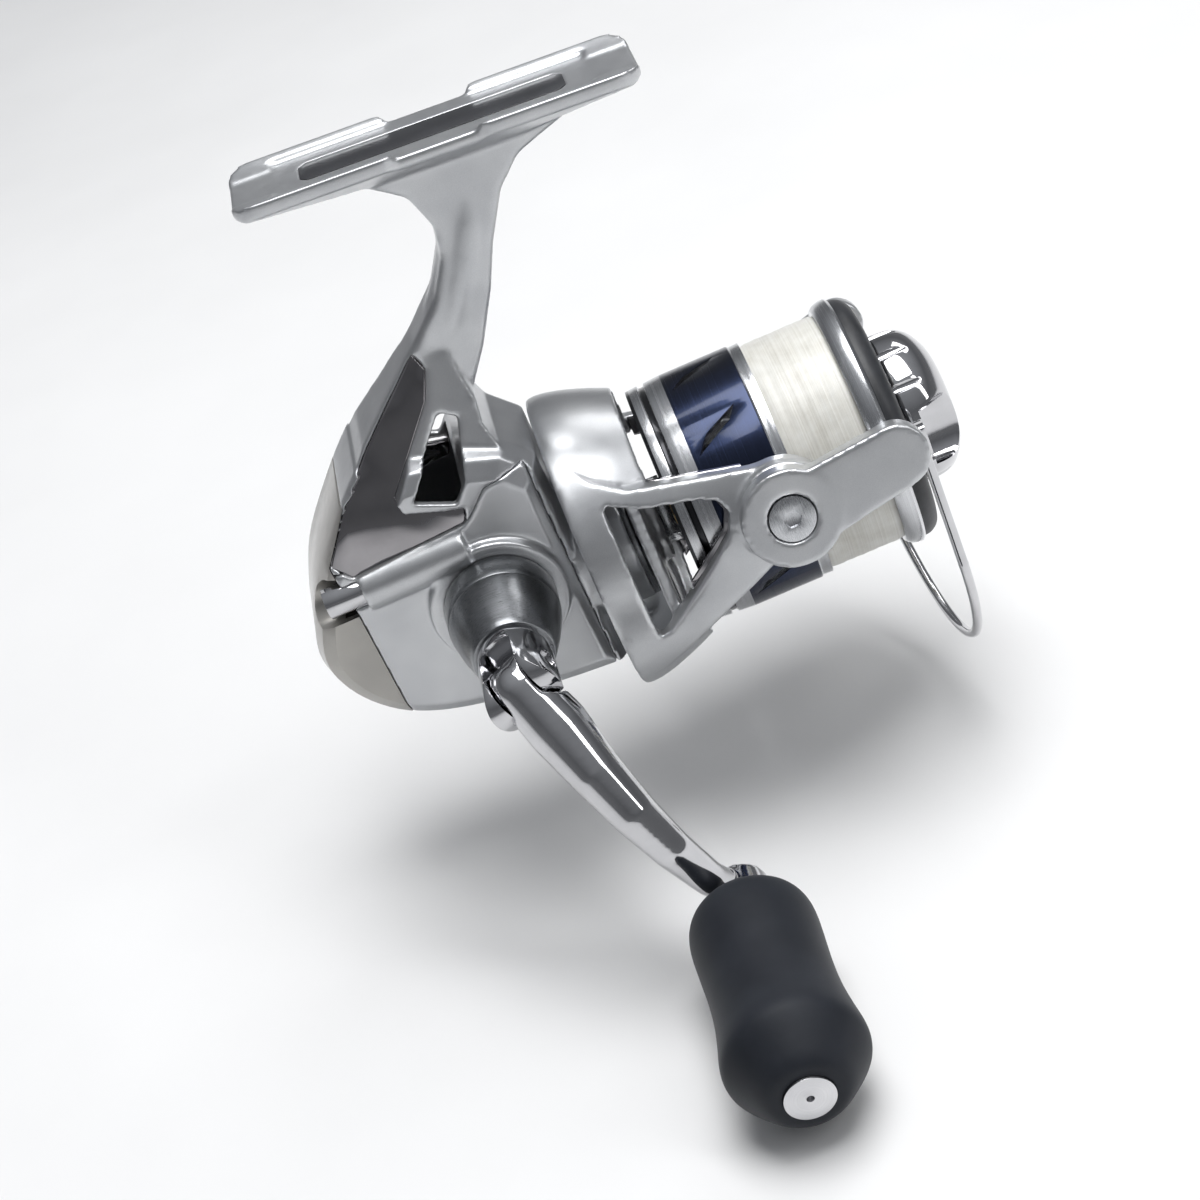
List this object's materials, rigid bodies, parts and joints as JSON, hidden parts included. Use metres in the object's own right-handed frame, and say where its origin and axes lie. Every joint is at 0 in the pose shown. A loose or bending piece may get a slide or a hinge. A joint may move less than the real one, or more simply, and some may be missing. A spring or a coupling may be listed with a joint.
{
  "type": "spinning reel",
  "caption": "Spinning fishing reel: foot and stem, gear housing, windowed rotor with bail and line roller, line-filled spool, drag knob and a folding handle.",
  "frame": {"origin": "middle of the flat land on top of the reel foot, where the foot lies against the rod's seat", "axes": "+X forward along the rod towards the spool, +Z away from the reel through the foot, +Y to the side opposite the handle"},
  "size_m": [0.1112, 0.1332, 0.1267],
  "materials": {
    "satin_silver": "satin",
    "champagne": "satin",
    "dark_mirror": "mirror",
    "charcoal_plate": "satin",
    "bright_chrome": "polished",
    "steel": "brushed",
    "dark_metal": "satin",
    "brass_parts": "satin",
    "cast_alloy": "cast",
    "spool_alloy": "brushed and anodised",
    "black_plastic": "satin",
    "wound_line": "silky",
    "felt": "matt",
    "soft_rubber": "matt",
    "cap_metal": "turned"
  },
  "bodies": {
    "frame": {"body_housing": "satin_silver", "side_cover": "satin_silver", "rear_cover": "champagne", "side_trim_right": "dark_mirror", "side_trim_left": "dark_mirror", "foot_plate": "charcoal_plate", "rear_cover_screw": "bright_chrome", "body_screws": "steel", "far_side_cap": "dark_metal", "drive_bearings": "steel", "pinion_bush": "brass_parts", "pinion_bearing": "steel", "roller_clutch": "dark_metal", "nose_plate": "dark_metal", "worm_bushes": "brass_parts", "guide_rods": "steel"},
    "crank": {"drive_shaft": "steel", "drive_gear": "cast_alloy", "handle_collar": "dark_metal", "handle_shank": "bright_chrome", "fold_pin": "bright_chrome"},
    "handle_arm_body": {"handle_arm": "bright_chrome", "knob_shaft": "steel"},
    "knob": {"knob_bearings": "steel", "knob_grip": "soft_rubber", "knob_cap": "cap_metal"},
    "rotor_body": {"pinion": "brass_parts", "clutch_sleeve": "steel", "rotor": "satin_silver", "rotor_liner": "dark_mirror", "rotor_nut": "steel", "arm_covers": "cast_alloy", "bail_pivot_screws": "steel", "bail_spring": "steel"},
    "worm": {"worm_shaft": "steel"},
    "spool_shaft": {"main_shaft": "steel", "slider": "cast_alloy", "slider_pawl": "brass_parts", "spool_seat": "black_plastic", "drag_washers": "steel"},
    "spool_body": {"spool": "spool_alloy", "lip_ring": "black_plastic", "line": "wound_line", "spool_bearing": "steel", "drag_felts": "felt", "drag_retainer": "steel"},
    "drag_knob_body": {"drag_knob": "bright_chrome", "drag_nut": "brass_parts", "drag_spring": "steel"},
    "bail": {"bail_arm": "satin_silver", "bail_wire": "bright_chrome", "roller_lever": "satin_silver", "roller_screw": "brass_parts"},
    "roller": {"line_roller": "brass_parts"}
  },
  "joints": [
    {"name": "handle_crank", "type": "hinge", "parent": "frame", "child": "crank", "pos_m": [-0.01563, -0.013, -0.07441], "axis": [0, 1, 0], "continuous": true},
    {"name": "rotor_spin", "type": "hinge", "parent": "frame", "child": "rotor_body", "pos_m": [0.00465, 0, -0.07744], "axis": [0.9973, 0, 0.0732], "continuous": true},
    {"name": "worm_spin", "type": "hinge", "parent": "frame", "child": "worm", "pos_m": [-0.01499, 0.00614, -0.08319], "axis": [0.9973, 0, 0.0732], "continuous": true},
    {"name": "handle_fold", "type": "hinge", "parent": "crank", "child": "handle_arm_body", "pos_m": [-0.01563, -0.038, -0.07441], "axis": [-0.8878, 0, -0.4602], "range_deg": [0, 90]},
    {"name": "knob_spin", "type": "hinge", "parent": "handle_arm_body", "child": "knob", "pos_m": [0.00508, -0.08, -0.11436], "axis": [0, -1, 0], "continuous": true},
    {"name": "spool_stroke", "type": "slide", "parent": "frame", "child": "spool_shaft", "axis": [0.9973, 0, 0.0732], "range_m": [-0.0015, 0.011]},
    {"name": "spool_drag_turn", "type": "hinge", "parent": "spool_shaft", "child": "spool_body", "pos_m": [0.04254, 0, -0.07465], "axis": [0.9973, 0, 0.0732], "continuous": true},
    {"name": "drag_knob_turn", "type": "hinge", "parent": "spool_shaft", "child": "drag_knob_body", "pos_m": [0.0585, 0, -0.07348], "axis": [0.9973, 0, 0.0732], "range_deg": [-360, 360]},
    {"name": "bail_flip", "type": "hinge", "parent": "rotor_body", "child": "bail", "pos_m": [0.03257, 0, -0.07538], "axis": [-0.0171, -0.9724, 0.2328], "range_deg": [0, 100]},
    {"name": "line_roller_spin", "type": "hinge", "parent": "bail", "child": "roller", "pos_m": [0.05375, 0.02594, -0.07028], "axis": [0.0171, 0.9724, -0.2328], "continuous": true}
  ],
  "couplings": [
    {"joint": "rotor_spin", "follows": "handle_crank", "ratio": 6},
    {"joint": "worm_spin", "follows": "handle_crank", "ratio": -4}
  ]
}
